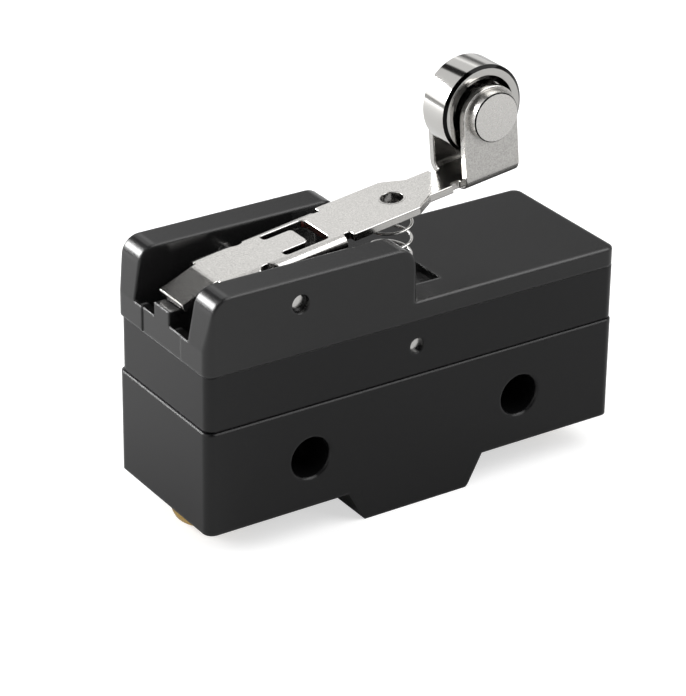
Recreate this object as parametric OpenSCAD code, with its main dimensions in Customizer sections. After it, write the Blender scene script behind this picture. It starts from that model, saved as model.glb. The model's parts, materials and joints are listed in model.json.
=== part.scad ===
// Snap-action switch with a hinge roller lever and screw terminals.
// Origin midway between the two mounting holes, at mid-width. +X to the roller, +Z up.
// Lengths are in millimetres, angles in degrees.

/* [Body] */
// Length of the lower case
case_l = 49.2; // [48:0.1:53]
// Width of the case
case_w = 17.45; // [16.6:0.05:20]
// Radius of the upright outer corners
corner_r = 1.05; // [0.8:0.05:1.4]
// Thickness of the moulded outer walls
wall_t = 1.8; // [1.5:0.05:2]
// Underside of the case below the mounting holes
case_below = 5.45; // [5.2:0.05:6.2]
// Parting plane of case and cover above the mounting holes
seam_case = 5.76; // [5.6:0.02:6]
// Parting plane of cover and lever housing above the mounting holes
seam_cover = 11.88; // [11.7:0.02:12.2]
// Step of the cover in from the case
cover_step = 0.2; // [0.1:0.05:0.4]

/* [Mounting holes] */
// Distance between the two mounting holes
hole_pitch = 25.4; // [25:0.1:26]
// Diameter of the mounting holes
hole_d = 4.4; // [4:0.1:4.6]

/* [Terminal guard] */
// Half length of the guard where it leaves the case
guard_top = 8.2; // [7.9:0.1:9]
// Half length of the guard at its foot
guard_foot = 6.5; // [6.3:0.1:7.4]
// Height of the guard
guard_h = 3.45; // [3.4:0.05:4.2]

/* [Lever housing] */
// Inner half width between the side walls
bay_half = 5.2; // [4.8:0.05:5.6]
// Thickness of the floor of the lever bay
floor_t = 1.17; // [1:0.01:1.5]
// Thickness of the deck at the right end
deck_t = 2.11; // [1.9:0.01:2.6]
// Height of the side walls above the cover
wall_h = 8.17; // [8:0.01:9]
// Distance from the hinge to the right end of the side walls
wall_reach = 14.04; // [13:0.02:15]
// Room between the spring and the left edge of the deck
deck_room = 0.24; // [0.2:0.02:0.8]
// Rounding of the side walls in the side view
wall_round = 2.0; // [1.6:0.1:2.4]
// Height of the end wall between the side walls
end_wall_h = 2.67; // [2:0.01:3.2]

/* [Hinge] */
// Distance from the left end of the case to the hinge
hinge_in = 10.56; // [10:0.02:11.4]
// Height of the hinge above the cover
hinge_up = 5.42; // [5.2:0.02:6]
// Diameter of the hinge pin
hinge_pin_d = 1.6; // [1.4:0.05:1.8]
// Depth of the pin ends below the outer faces
pin_sunk = 0.7; // [0.4:0.05:1]

/* [Lever] */
// Thickness of the lever sheet
sheet_t = 0.9; // [0.8:0.05:1]
// Half width of the lever
lever_half = 3.65; // [3.4:0.05:3.9]
// Lift of the lever above level in its free position
lever_tilt = 7.6; // [6.6:0.1:8]
// Height of the sheet's upper face above the hinge
sheet_up = 1.87; // [1.84:0.01:2]
// Depth of the side flanges below the hinge
flange_drop = 1.7; // [1.5:0.05:1.9]
// Half width of the neck
neck_half = 2.25; // [2:0.05:2.5]
// Length of the stop tail
tail_l = 4.0; // [3.6:0.05:4.2]
// Bend of the stop tail
tail_bend = 15.5; // [14:0.5:18]

/* [Roller] */
// Diameter of the roller
roller_d = 9.5; // [9:0.1:10]
// Width of the roller
roller_w = 4; // [3.6:0.05:4.4]
// Distance from the hinge to the roller axis along the lever
roller_reach = 27.18; // [26.8:0.02:28.4]
// Height of the roller axis above the hinge, square to the lever
roller_up = 8.66; // [8.2:0.02:9.2]
// Diameter of the rivet's shank
rivet_d = 2.6; // [2.2:0.1:3]
// Diameter of the rivet's heads
rivet_head_d = 5.26; // [4.8:0.02:5.6]
// Half width of the fork ears
ear_half = 3.25; // [3.1:0.05:3.5]

/* [Return spring] */
// Distance from the hinge to the spring axis
spring_reach = 16.3; // [15.9:0.1:16.6]
// Outer diameter of the spring
spring_d = 4.5; // [4.2:0.05:4.6]
// Diameter of the spring wire
spring_wire = 0.32; // [0.25:0.01:0.4]
// Number of open turns
spring_turns = 3.4; // [3:0.1:4.5]

/* [Plunger and contacts] */
// Distance from the hinge to the plunger
plunger_arm = 3.14; // [2.8:0.02:3.4]
// Diameter of the plunger
plunger_d = 3.2; // [2.8:0.1:3.5]
// Distance from the knife edge to the plunger
blade_arm = 6.6; // [6.2:0.1:6.8]
// Distance from the right mounting hole to the contacts
contact_in = 5.9; // [5.4:0.1:6.2]
// Width of the snap blade
blade_w = 5.2; // [4.6:0.1:5.6]
// Height of the blade above the mounting holes
blade_z = 5.0; // [4.8:0.05:5.2]
// Opening between the moving contact and the lower contact
contact_gap = 0.5; // [0.4:0.05:0.6]

/* [Terminals] */
// Distance of the outer terminal screws from the ends of the case
screw_in = 5.5; // [5.2:0.1:6]
// Nominal diameter of the terminal screws
screw_d = 4; // [3.5:0.1:4.2]
// Diameter of the screw heads
head_d = 8; // [7.4:0.1:8.4]
// Height of the screw heads
head_h = 2.3; // [2:0.1:2.4]
// Thickness of the terminal plates
plate_t = 1.0; // [0.9:0.05:1.1]

/* [Hidden] */
$fn = 48;
eps = 0.05;
touch = 0.02;        // gap between pieces that rest on each other
run_gap = 0.03;      // radial clearance of a running fit
side_gap = 0.15;     // clearance at the side of a moving piece

black = [0.13, 0.13, 0.135];
steel = [0.80, 0.79, 0.76];
brass = [0.78, 0.62, 0.32];
silver = [0.86, 0.86, 0.84];

// Body levels and half sizes
half_l = case_l / 2;
half_w = case_w / 2;
guard_z = -case_below - guard_h;
floor_z = seam_cover + floor_t;
deck_z = seam_cover + deck_t;
wall_z = seam_cover + wall_h;
end_z = seam_cover + end_wall_h;
hole_x = hole_pitch / 2;
cavity_half = half_w - wall_t;
case_floor_t = 1.85;
pillar_r = hole_d / 2 + 1.3;
seam_edge = 0.15;                // rounding of the edges along the seams
deck_edge = 0.3;
hole_edge = 0.2;                 // chamfer of the mounting holes
wall_lean = 0.6;                 // lean of the side walls' ends

// Hinge and lever
deck_start = spring_reach + spring_d / 2 + deck_room;
hinge_x = -half_l + hinge_in;
hinge_z = seam_cover + hinge_up;
pin_hole_d = hinge_pin_d + 0.4;
lever_pin_r = hinge_pin_d / 2 + run_gap;
sheet_low = sheet_up - sheet_t;
bend_out = sheet_t + 0.05;       // outer radius of the flange bends
flange_start = -5.15;            // left end of the flanges, along the lever from the hinge
flange_end = 9.0;
tail_half = 2.2;
tail_start = flange_start - 0.3;
notch_r = 1.1;                   // notches in the bends over the pin, and how near they come
notch_half = lever_half - bend_out - 0.08;
slot_half = 2.5;
slot_start = 2.5;
slot_end = 7.65;
tongue_half = 1.6;
tongue_end = 5.7;
slot_end_r = 0.45;
seat_u = spring_reach / cos(lever_tilt) + sheet_up * tan(lever_tilt);
seat_hole_d = 2.3;
collar_d = 3.4;
collar_h = 0.7;
shoulder_u = seat_u + 0.9;
neck_u = shoulder_u + 2.2;
ear_gap = 0.4;                   // between the roller's faces and the ears
ear_base_u = roller_reach - 0.25;
relief_u = ear_base_u - ear_half - 1;    // end of the neck, where the bend's relief starts
fork_u = ear_base_u - ear_half;
fork_in = roller_w / 2 + ear_gap;
fork_out = fork_in + sheet_t;
fork_bend = sheet_t + 0.55;

// Roller and rivet
rivet_head_h = 1.05;
roller_bore_r = rivet_d / 2 + run_gap;
hub_r = 2.2;
roller_rim = 0.35;               // chamfer at the roller's edges, and its depth
roller_rim_h = 0.27;

// Cover, its pin and the lug that the pin holds
cover_half_l = half_l - cover_step;
cover_half_w = half_w - cover_step;
cover_top_t = 1.7;
cover_pin_z = seam_cover - 2.83;
cover_pin_x = -0.17;
cover_pin_d = 1.6;
lug_half_l = 2.0;
lug_half_w = 3.0;
lug_drop = 4.3;
lug_box = 1.2;

// Plunger and blade
plunger_x = hinge_x + plunger_arm;
tongue_under = hinge_z + sheet_low / cos(lever_tilt) + plunger_arm * tan(lever_tilt);
dome_r = 2.4;
plunger_top = tongue_under - 0.055;
blade_t = 0.25;
plunger_free = 0.55;             // free travel of the plunger above the blade
plunger_low = blade_z + blade_t / 2 + plunger_free;
knife_x = plunger_x - blade_arm;
knife_r = 0.15;
pivot_x = knife_x - touch - knife_r;     // axis of the blade, in the round nose of the knife edge
contact_x = hole_x - contact_in;
blade_l = contact_x - knife_x;
window_w = blade_w - 2;
bow_w = window_w - 0.6;
small_rivet_d = 1.6;
small_rivet_head = 2.6;
bracket_x0 = knife_x - 4.4;
blade_rivet_x = knife_x - 2.6;
bow_start = knife_x + blade_arm + 2.5;   // seat of the bow, and the window's ends
bow_l = 8.3;
window_x = bow_start - 0.6;
window_l = bow_l + 0.7;
contact_d = 3.2;
contact_h = 0.5;
moving_top = blade_z + blade_t / 2 + contact_h;
moving_low = blade_z - blade_t / 2 - contact_h;

// Terminals
end_screw_x = half_l - screw_in;
washer_t = 0.7;
plate_half_w = 3.6;
plate_low = -case_below;
plate_top = plate_low + plate_t;
screw_seat = plate_low - washer_t;
screw_l = 5.6;
riser_x = half_l - wall_t - 0.1;
com_plate_end = -end_screw_x + head_d / 2 - 0.2;
no_plate_start = -head_d / 2;
no_riser_x = contact_x - contact_d / 2 - 0.9;
com_shelf_z = blade_z - 1.9;
no_shelf_z = moving_low - contact_gap - contact_h - plate_t;
nc_shelf_z = moving_top + touch + contact_h;

// ---------- shared shapes ----------

// Rectangle with round corners between two opposite corner points
module round_rect(x0, x1, y0, y1, r) {
    translate([x0 + r, y0]) square([x1 - x0 - 2 * r, y1 - y0]);
    translate([x0, y0 + r]) square([x1 - x0, y1 - y0 - 2 * r]);
    for (x = [x0 + r, x1 - r], y = [y0 + r, y1 - r]) translate([x, y]) circle(r);
}

// Box between two opposite corner points
module block(x0, x1, y0, y1, z0, z1) {
    translate([x0, y0, z0]) cube([x1 - x0, y1 - y0, z1 - z0]);
}

// Cylinder along Y, centred on the mid-plane
module cross_bar(x, z, d, l) {
    translate([x, 0, z]) rotate([90, 0, 0]) cylinder(d = d, h = l, center = true);
}

// Upright plate between two heights, drawn in plan
module slab(z0, z1) {
    translate([0, 0, z0]) linear_extrude(z1 - z0) children();
}

// Slab with round upright corners, whose top and lower edges are rounded too
module soft_slab(x0, x1, half, z0, z1, r, top, low) {
    slab(z0 + low, z1 - top) round_rect(x0, x1, -half, half, r);
    if (top > 0) soft_rim(x0, x1, half, z1 - top, z1, r, top, z1 - top);
    if (low > 0) soft_rim(x0, x1, half, z0, z0 + low, r, low, z0 + low);
}

// Rounded edge of a slab: the slab inside it, a bar along each side and a bead at each corner
module soft_rim(x0, x1, half, z0, z1, r, e, z) {
    slab(z0, z1) round_rect(x0 + e, x1 - e, -half + e, half - e, r - e);
    for (s = [-1, 1]) translate([x0 + r, s * (half - e), z]) rotate([0, 90, 0])
        cylinder(r = e, h = x1 - x0 - 2 * r, $fn = 16);
    for (x = [x0 + e, x1 - e]) translate([x, 0, z]) rotate([90, 0, 0])
        cylinder(r = e, h = 2 * (half - r), center = true, $fn = 16);
    for (x = [x0 + r, x1 - r], s = [-1, 1]) translate([x, s * (half - r), z])
        rotate_extrude($fn = 48) translate([r - e, 0]) circle(e, $fn = 16);
}

// ---------- moulded body ----------

module guard() {
    rotate([90, 0, 0]) linear_extrude(case_w, center = true)
        polygon([[-guard_top, -case_below + eps], [guard_top, -case_below + eps],
            [guard_foot, guard_z + 0.3], [guard_foot - 0.3, guard_z],
            [-guard_foot + 0.3, guard_z], [-guard_foot, guard_z + 0.3]]);
}

// Room for a terminal plate, its riser slot and the screw end
module terminal_room(x, plate_x0, plate_x1, riser_x0, riser_x1) {
    block(plate_x0 - 0.1, plate_x1 + 0.1, -plate_half_w - 0.1, plate_half_w + 0.1,
        plate_low - eps, plate_top);
    block(riser_x0 - 0.1, riser_x1 + 0.1, -plate_half_w - 0.1, plate_half_w + 0.1,
        plate_low - eps, plate_low + case_floor_t + eps);
    translate([x, 0, plate_low]) cylinder(d = screw_d + 0.6, h = screw_l + 0.4);
}

module case() color(black) {
    difference() {
        union() {
            soft_slab(-half_l, half_l, half_w, -case_below, seam_case, corner_r, seam_edge, 0);
            guard();
        }
        // Contact chamber with a solid pillar left round each mounting hole
        difference() {
            block(-half_l + wall_t, half_l - wall_t, -cavity_half, cavity_half,
                -case_below + case_floor_t, seam_case + eps);
            for (x = [-hole_x, hole_x]) {
                cross_bar(x, 0, 2 * pillar_r, case_w);
                block(x - pillar_r, x + pillar_r, -half_w, half_w, -case_below, 0);
            }
        }
        for (x = [-hole_x, hole_x]) {
            cross_bar(x, 0, hole_d, case_w + 1);
            for (s = [-1, 1]) translate([x, s * half_w, 0]) rotate([s * 90, 0, 0])
                cylinder(d1 = hole_d + 4 * hole_edge, d2 = hole_d, h = 2 * hole_edge, center = true);
        }
        // Room for the middle screw inside the guard, with wire entries at both sides
        block(-head_d / 2 - 0.9, head_d / 2 + 0.9, -cavity_half, cavity_half,
            guard_z - eps, -case_below);
        block(-guard_top - 1, guard_top + 1, -3.2, 3.2, guard_z - eps, -case_below);
        terminal_room(-end_screw_x, -riser_x, com_plate_end, -riser_x, -riser_x + plate_t);
        terminal_room(0, no_plate_start, no_riser_x + plate_t, no_riser_x, no_riser_x + plate_t);
        terminal_room(end_screw_x, -com_plate_end, riser_x, riser_x - plate_t, riser_x);
    }
}

module cover() color(black) {
    difference() {
        union() {
            soft_slab(-cover_half_l, half_l, cover_half_w, seam_case, seam_cover, corner_r,
                seam_edge, seam_edge);
            // Lip that drops into the case
            slab(seam_case - 1, seam_case + eps)
                round_rect(-half_l + wall_t + 0.1, half_l - wall_t - 0.1,
                    -cavity_half + 0.1, cavity_half - 0.1, 0.4);
        }
        difference() {
            block(-half_l + wall_t + 0.9, half_l - wall_t - 0.9,
                -cavity_half + 0.9, cavity_half - 0.9, seam_case - 1 - eps,
                seam_cover - cover_top_t);
            // Closed box round the lug, and the plunger guide
            block(cover_pin_x - lug_half_l - lug_box, cover_pin_x + lug_half_l + lug_box,
                -half_w, half_w, seam_cover - lug_drop - lug_box, seam_cover);
            translate([plunger_x, 0, seam_cover - 3.6]) cylinder(d = plunger_d + 2.6, h = 3.6);
        }
        // Slot for the riser of the right terminal
        block(riser_x - plate_t - 0.1, riser_x + 0.1, -plate_half_w - 0.1, plate_half_w + 0.1,
            seam_case - 1 - eps, nc_shelf_z + plate_t + 0.1);
        block(cover_pin_x - lug_half_l - 0.05, cover_pin_x + lug_half_l + 0.05,
            -lug_half_w - 0.05, lug_half_w + 0.05, seam_cover - lug_drop - 0.05, seam_cover + eps);
        cross_bar(cover_pin_x, cover_pin_z, cover_pin_d, case_w + 1);
        translate([plunger_x, 0, seam_cover - 4]) cylinder(r = plunger_d / 2 + run_gap, h = 5);
    }
}

// One side wall of the lever housing: its ends lean in, and its top edges are rounded
module side_wall() {
    out_r = 0.25;
    in_r = 0.2;
    foot = seam_cover + 0.5;
    foot_top = foot + 0.3;
    right = hinge_x + wall_reach;
    hull() {
        translate([-half_l + corner_r, -half_w + corner_r, foot])
            cylinder(r = corner_r, h = end_z - foot, $fn = 32);
        translate([right - corner_r, -half_w + corner_r, foot])
            cylinder(r = corner_r, h = foot_top - foot, $fn = 32);
        block(-half_l, right, -bay_half - 1, -bay_half, foot, foot_top);
        block(-half_l, -half_l + 1, -bay_half - 1, -bay_half, foot, end_z);
        for (x = [-half_l + wall_lean + wall_round, right - wall_lean - wall_round]) {
            translate([x, -half_w + out_r, wall_z - wall_round]) rotate([90, 0, 0])
                rotate_extrude($fn = 32) translate([wall_round - out_r, 0]) circle(out_r, $fn = 16);
            translate([x, -bay_half - in_r, wall_z - wall_round]) rotate([90, 0, 0])
                rotate_extrude($fn = 32) translate([wall_round - in_r, 0]) circle(in_r, $fn = 16);
        }
    }
}

module lever_housing() color(black) {
    post_half = 1.4;
    post_l = 2.3;
    panel_half = 3.7;
    panel_x = -half_l + 0.12;
    difference() {
        union() {
            soft_slab(-half_l, half_l - cover_step, half_w, seam_cover, deck_z, corner_r,
                deck_edge, seam_edge);
            side_wall();
            mirror([0, 1, 0]) side_wall();
            // End wall with a sloped inner face
            translate([0, bay_half + eps, 0]) rotate([90, 0, 0]) linear_extrude(2 * bay_half + 2 * eps)
                polygon([[-half_l, seam_cover + 0.5], [-half_l, end_z], [-half_l + 0.25, end_z],
                    [-half_l + 1.5, floor_z - eps], [-half_l + 1.5, seam_cover + 0.5]]);
        }
        // Lever bay
        difference() {
            block(-half_l - 1, hinge_x + deck_start, -bay_half, bay_half, floor_z, wall_z + 1);
            block(-half_l - 1, -half_l + 1.6, -bay_half - 1, bay_half + 1, seam_cover, end_z);
        }
        // Shallow panel on the end wall
        block(-half_l - 1, panel_x, -panel_half, panel_half, seam_cover - 1, end_z + eps);
        cross_bar(hinge_x, hinge_z, hinge_pin_d, case_w + 1);
        for (s = [-1, 1]) translate([hinge_x, s * (half_w - pin_sunk / 2 + 0.5), hinge_z])
            rotate([90, 0, 0]) cylinder(d = pin_hole_d, h = pin_sunk + 1, center = true);
        translate([plunger_x, 0, seam_cover - 1]) cylinder(r = plunger_d / 2 + run_gap, h = 6);
    }
    // Stop post for the tail, flush with the panel
    block(panel_x, panel_x + post_l, -post_half, post_half, floor_z - eps, tail_rest_z - touch);
    // Raised guide round the plunger and boss inside the spring
    difference() {
        translate([plunger_x, 0, floor_z - eps]) cylinder(d = plunger_d + 2, h = 1.6);
        translate([plunger_x, 0, floor_z - 1]) cylinder(r = plunger_d / 2 + run_gap, h = 5);
    }
    translate([hinge_x + spring_reach, 0, floor_z - eps])
        cylinder(d1 = spring_d - 2 * spring_wire - 0.3, d2 = spring_d - 2 * spring_wire - 0.9, h = 1.3);
    // Lug that the cover pin passes through
    difference() {
        block(cover_pin_x - lug_half_l, cover_pin_x + lug_half_l, -lug_half_w, lug_half_w,
            seam_cover - lug_drop, seam_cover + eps);
        cross_bar(cover_pin_x, cover_pin_z, cover_pin_d, case_w);
    }
}

module hinge_pin() color(steel) {
    cross_bar(hinge_x, hinge_z, hinge_pin_d, case_w - 2 * pin_sunk);
}

module cover_pin() color(steel) {
    cross_bar(cover_pin_x, cover_pin_z, cover_pin_d, 2 * (cover_half_w - 0.5));
}

// ---------- lever ----------

// Places a shape drawn in the lever's own frame: hinge at the origin, sheet along +X
module on_lever() {
    translate([hinge_x, 0, hinge_z]) rotate([0, -lever_tilt, 0]) children();
}

// Lowest point of the tail's tip in the free position
tail_u = tail_start - tail_l * cos(tail_bend) + sheet_t * sin(tail_bend);
tail_w = sheet_up - tail_l * sin(tail_bend) - sheet_t * cos(tail_bend);
tail_rest_z = hinge_z + tail_u * sin(lever_tilt) + tail_w * cos(lever_tilt);

module sheet_outline() {
    flat_half = lever_half - bend_out;
    plain_half = lever_half;
    // Between the flanges, then plain sheet, shoulder, neck and fork floor
    translate([flange_start, -flat_half]) square([flange_end - flange_start + 0.8, 2 * flat_half]);
    translate([flange_end + 0.7, -plain_half]) square([shoulder_u - flange_end - 0.7, 2 * plain_half]);
    polygon([[shoulder_u - eps, -plain_half], [shoulder_u + 0.9, -plain_half + 0.3],
        [shoulder_u + 1.6, -plain_half + 0.75], [neck_u - 0.2, -neck_half - 0.25], [neck_u, -neck_half],
        [neck_u, neck_half], [neck_u - 0.2, neck_half + 0.25], [shoulder_u + 1.6, plain_half - 0.75],
        [shoulder_u + 0.9, plain_half - 0.3], [shoulder_u - eps, plain_half]]);
    translate([neck_u - eps, -neck_half]) square([relief_u - neck_u, 2 * neck_half]);
    translate([relief_u - 1, -fork_out + fork_bend])
        square([fork_u + 2 * ear_half - relief_u + 1, 2 * (fork_out - fork_bend)]);
}

module slot_outline() {
    difference() {
        union() {
            translate([slot_start + 1, -slot_half]) square([slot_end - slot_start - 1.6, 2 * slot_half]);
            translate([slot_end - 1, -slot_half + 0.6]) square([1, 2 * slot_half - 1.2]);
            for (s = [-1, 1]) {
                translate([slot_end - 0.6, s * (slot_half - 0.6)]) circle(0.6);
                translate([slot_start + slot_end_r, s * (slot_half - slot_end_r)]) circle(slot_end_r);
                translate([slot_start + slot_end_r, s > 0 ? slot_half - 2 * slot_end_r : -slot_half])
                    square([1, 2 * slot_end_r]);
            }
        }
        translate([slot_start, -tongue_half]) square([tongue_end - 0.5 - slot_start, 2 * tongue_half]);
        translate([tongue_end - 1, -tongue_half + 0.5]) square([1, 2 * tongue_half - 1]);
        for (s = [-1, 1]) translate([tongue_end - 0.5, s * (tongue_half - 0.5)]) circle(0.5);
    }
}

// A quarter bend and the flat that follows it, for an edge folded down or up
module folded_edge(u0, u1, half, r_out, r_in, low, high, down) {
    for (s = [-1, 1]) intersection() {
        translate([u0, s * (half - r_out), down ? high - r_out : low + r_out]) rotate([0, 90, 0])
            difference() {
                cylinder(r = r_out, h = u1 - u0);
                translate([0, 0, -1]) cylinder(r = r_in, h = u1 - u0 + 2);
            }
        y0 = s > 0 ? half - r_out - 0.01 : -half - 1;
        block(u0 - 1, u1 + 1, y0, y0 + r_out + 1.01,
            down ? high - r_out : low - 1, down ? high + 1 : low + r_out);
    }
}

module lever() color(steel) on_lever() {
    difference() {
        union() {
            translate([0, 0, sheet_low]) linear_extrude(sheet_t) sheet_outline();
            folded_edge(flange_start, flange_end, lever_half, bend_out, bend_out - sheet_t,
                sheet_low, sheet_up, true);
            for (s = [-1, 1]) block(flange_start, flange_end,
                s > 0 ? lever_half - sheet_t : -lever_half, s > 0 ? lever_half : -lever_half + sheet_t,
                -flange_drop, sheet_up - bend_out + 0.01);
            // Tail: a short flat, then bent down to the stop post
            rotate([90, 0, 0]) linear_extrude(2 * tail_half, center = true)
                polygon([[flange_start + eps, sheet_up], [tail_start, sheet_up],
                    [tail_u - sheet_t * sin(tail_bend), tail_w + sheet_t * cos(tail_bend)],
                    [tail_u, tail_w], [tail_start + sheet_t * tan(tail_bend / 2), sheet_low],
                    [flange_start + eps, sheet_low]]);
            // Fork: the floor bends up into two ears with round tops
            folded_edge(fork_u, fork_u + 2 * ear_half, fork_out, fork_bend, fork_bend - sheet_t,
                sheet_low, sheet_up, false);
            for (s = [-1, 1]) fork_ear(s);
            // Collar round the seat hole that centres the spring
            translate([seat_u, 0, sheet_low - collar_h]) cylinder(d = collar_d, h = collar_h + eps);
        }
        translate([0, 0, sheet_low - 1]) linear_extrude(sheet_t + 2) slot_outline();
        translate([seat_u, 0, sheet_low - 2]) cylinder(d = seat_hole_d, h = 4);
        // Round notches in the bends over the pin
        for (s = [-1, 1]) translate([0, s * (notch_half + notch_r), lever_pin_r + 0.2])
            cylinder(r = notch_r, h = sheet_up);
        rotate([90, 0, 0]) cylinder(r = lever_pin_r, h = 3 * lever_half, center = true);
        translate([roller_reach, 0, roller_up]) rotate([90, 0, 0])
            cylinder(d = rivet_d, h = 4 * fork_out, center = true);
        // Flange corners cut back below the hinge
        for (u = [flange_start, flange_end]) translate([u, 0, -flange_drop]) rotate([0, 45, 0])
            cube([1.4, 3 * lever_half, 1.4], center = true);
    }
}

// Where a line from point p touches a circle, on its left (1) or right (-1) as seen from p
function touch_point(p, c, r, side) = let (l = norm(c - p), t = sqrt(l * l - r * r),
    a = atan2(c.y - p.y, c.x - p.x) + side * asin(r / l)) p + t * [cos(a), sin(a)];

// One ear of the fork: a flat plate with straight sides and a round top about the rivet
module fork_ear(side) {
    y0 = side > 0 ? fork_in : -fork_out;
    base = sheet_low + fork_bend;
    top = [roller_reach, roller_up - 0.25];
    left = [fork_u, base];
    right = [fork_u + 2 * ear_half, base];
    translate([0, y0 + sheet_t, 0]) rotate([90, 0, 0]) linear_extrude(sheet_t) union() {
        translate(top) circle(ear_half);
        polygon([left - [0, 0.01], right - [0, 0.01], right, touch_point(right, top, ear_half, -1),
            touch_point(left, top, ear_half, 1), left]);
    }
}

module roller() color(steel) on_lever() translate([roller_reach, 0, roller_up]) rotate([90, 0, 0])
    rotate_extrude($fn = 96) {
        h = roller_w / 2;
        r = roller_d / 2;
        hub = h + ear_gap - side_gap;
        polygon([[roller_bore_r, -hub], [hub_r, -hub], [hub_r, -h + 0.5], [2.9, -h + 0.5],
            [3.6, -h], [r - roller_rim, -h], [r, -h + roller_rim_h], [r, h - roller_rim_h],
            [r - roller_rim, h], [3.6, h], [2.9, h - 0.5], [hub_r, h - 0.5], [hub_r, hub],
            [roller_bore_r, hub]]);
    }

module roller_rivet() color(steel) on_lever() translate([roller_reach, 0, roller_up])
    rotate([90, 0, 0]) rotate_extrude($fn = 64) {
        h = fork_out + rivet_head_h;
        r = rivet_head_d / 2;
        polygon([[0, -h], [r - 0.12, -h], [r, -h + 0.12], [r, -fork_out], [rivet_d / 2, -fork_out],
            [rivet_d / 2, fork_out], [r, fork_out], [r, h - 0.12], [r - 0.12, h], [0, h]]);
    }

// ---------- return spring ----------

spring_low = floor_z + touch;
spring_high = hinge_z + (sheet_low + spring_reach * sin(lever_tilt)) / cos(lever_tilt)
    - spring_d / 2 * tan(lever_tilt) - 0.05;
spring_closed = 1;
spring_sides = 8;
spring_steps = 18;

// Height of the wire's centre after a number of turns: closed end, open turns, closed end
function spring_z(n) = let (
    total = spring_turns + 2 * spring_closed,
    low = spring_low + spring_wire / 2,
    high = spring_high - spring_wire / 2,
    end = spring_wire * 1.05,
    open = (high - low - 2 * end) / spring_turns)
    n < spring_closed ? low + end * n / spring_closed :
    n > total - spring_closed ? high - end * (total - n) / spring_closed :
    low + end + open * (n - spring_closed);

module return_spring() color(steel) {
    total = spring_turns + 2 * spring_closed;
    rings = round(total * spring_steps);
    mean_r = (spring_d - spring_wire) / 2;
    pts = [for (i = [0:rings], k = [0:spring_sides - 1])
        let (n = total * i / rings, a = 360 * n, b = 360 * k / spring_sides,
            r = mean_r + spring_wire / 2 * cos(b))
        [r * cos(a), r * sin(a), spring_z(n) + spring_wire / 2 * sin(b)]];
    sides = [for (i = [0:rings - 1], k = [0:spring_sides - 1])
        let (j = (k + 1) % spring_sides, a = i * spring_sides, b = a + spring_sides)
        [a + k, b + k, b + j, a + j]];
    caps = [[for (k = [0:spring_sides - 1]) k],
        [for (k = [spring_sides - 1:-1:0]) rings * spring_sides + k]];
    translate([hinge_x + spring_reach, 0, 0]) polyhedron(pts, concat(sides, caps));
}

// ---------- plunger and snap mechanism ----------

module plunger() color([0.55, 0.2, 0.15]) translate([plunger_x, 0, 0]) rotate_extrude($fn = 48) {
    tip_r = plunger_d / 2 - 0.4;
    tip_z = plunger_top - dome_r + sqrt(dome_r * dome_r - tip_r * tip_r);
    polygon(concat([[0, plunger_low], [1.0, plunger_low], [1.3, plunger_low + 0.3],
        [1.3, plunger_low + 0.6], [plunger_d / 2, plunger_low + 0.9], [plunger_d / 2, tip_z - 0.8],
        [tip_r, tip_z - 0.4]],
        [for (i = [0:6]) let (a = asin(tip_r / dome_r) * (1 - i / 6))
            [dome_r * sin(a), plunger_top - dome_r + dome_r * cos(a)]]));
}

module snap_blade() color(brass) translate([0, 0, blade_z - blade_t / 2]) linear_extrude(blade_t)
    difference() {
        union() {
            translate([knife_x, -blade_w / 2]) square([blade_l - 1, blade_w]);
            translate([contact_x - 1.6, 0]) circle(d = blade_w);
            translate([contact_x, 0]) circle(d = blade_w - 0.8);
        }
        // Window for the bow, and the contact rivet's hole
        translate([window_x, -window_w / 2]) square([window_l, window_w]);
        translate([contact_x, 0]) circle(d = small_rivet_d);
    }

// Curved leaf between the bracket's seat and the right end of the blade's window
module bow_spring() color(brass) {
    rise = 1.1;
    r = (bow_l * bow_l / 4 + rise * rise) / (2 * rise);
    translate([bow_start + bow_l / 2, 0, blade_z - 0.3]) intersection() {
        translate([0, 0, rise - r]) rotate([90, 0, 0]) difference() {
            cylinder(r = r, h = bow_w, center = true, $fn = 96);
            cylinder(r = r - 0.2, h = bow_w + 1, center = true, $fn = 96);
        }
        block(-bow_l / 2, bow_l / 2, -bow_w, bow_w, 0, rise + 1);
    }
}

module moving_contact() color(silver) translate([contact_x, 0, 0]) {
    translate([0, 0, blade_z + blade_t / 2]) cylinder(d = contact_d, h = contact_h);
    translate([0, 0, moving_low]) cylinder(d = contact_d, h = contact_h);
    translate([0, 0, moving_low + 0.1])
        cylinder(d = small_rivet_d, h = blade_t + 2 * contact_h - 0.2);
}

// Bracket on the common terminal: a base, an upright with the round-nosed knife edge that the
// blade's end bears on, and an arm under the blade that ends in the bow's seat
module blade_bracket() color(brass) difference() {
    z = com_shelf_z + plate_t;
    base_t = 0.5;
    arm_t = 0.3;
    seat_t = 0.35;
    upright_x = pivot_x - 0.05;
    union() {
        block(bracket_x0, upright_x, -blade_w / 2, blade_w / 2, z, z + base_t);
        block(upright_x - 0.2, bow_start - touch, -bow_w / 2, bow_w / 2, z, z + arm_t);
        block(bow_start - touch - seat_t, bow_start - touch, -bow_w / 2, bow_w / 2,
            z, blade_z + blade_t / 2);
        block(upright_x - base_t, upright_x, -blade_w / 2, blade_w / 2, z, blade_z + 0.7);
        cross_bar(pivot_x, blade_z, 2 * knife_r, blade_w);
    }
    translate([blade_rivet_x, 0, z - 1]) cylinder(d = small_rivet_d, h = 3);
}

module blade_rivet() color(brass) translate([blade_rivet_x, 0, 0]) {
    translate([0, 0, com_shelf_z - 0.6]) cylinder(d = small_rivet_head, h = 0.6);
    translate([0, 0, com_shelf_z - 0.1]) cylinder(d = small_rivet_d, h = plate_t + 0.7);
    translate([0, 0, com_shelf_z + plate_t + 0.5]) cylinder(d = small_rivet_head, h = 0.6);
}

// ---------- terminals ----------

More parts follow.
